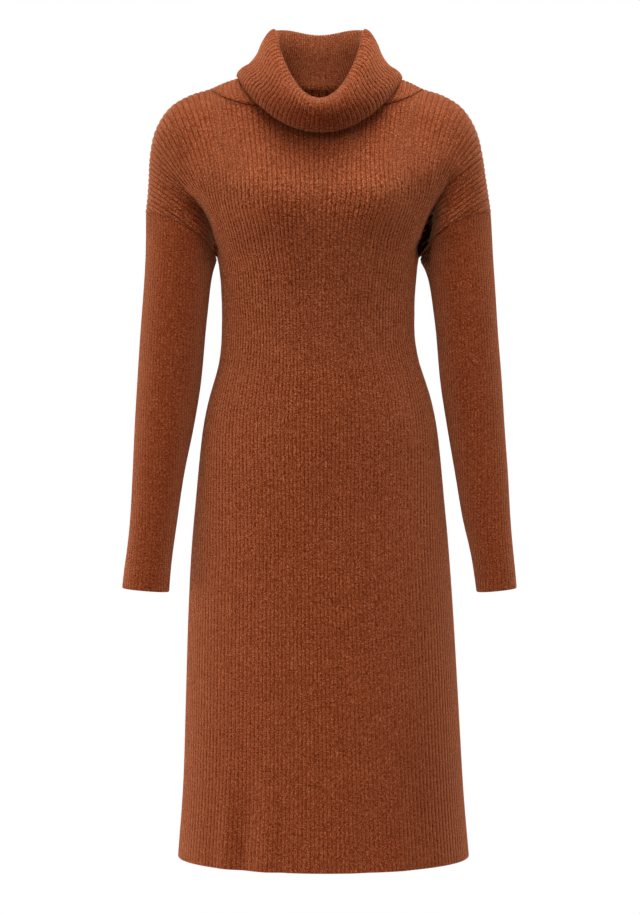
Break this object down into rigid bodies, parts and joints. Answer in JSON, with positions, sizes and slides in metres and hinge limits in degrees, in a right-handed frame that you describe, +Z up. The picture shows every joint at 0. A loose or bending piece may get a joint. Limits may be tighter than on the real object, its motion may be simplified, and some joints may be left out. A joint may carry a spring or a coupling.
{
  "type": "sweater dress",
  "caption": "Knee-length rib-knit sweater dress with a large folded roll neck, dropped shoulders and long sleeves, standing open and hollow as it is worn.",
  "frame": {"origin": "middle of the shoulder line, at the height of the neck points, where the dress hangs on its wearer", "axes": "+Z up, +X towards the wearer's left, the front faces -Y"},
  "size_m": [0.5235, 0.2646, 1.1137],
  "materials": {
    "rib_knit": "matte melange rib knit"
  },
  "bodies": {
    "root": {"front_panel": "rib_knit", "back_panel": "rib_knit", "sleeve_left": "rib_knit", "sleeve_right": "rib_knit", "collar": "rib_knit"}
  },
  "joints": []
}
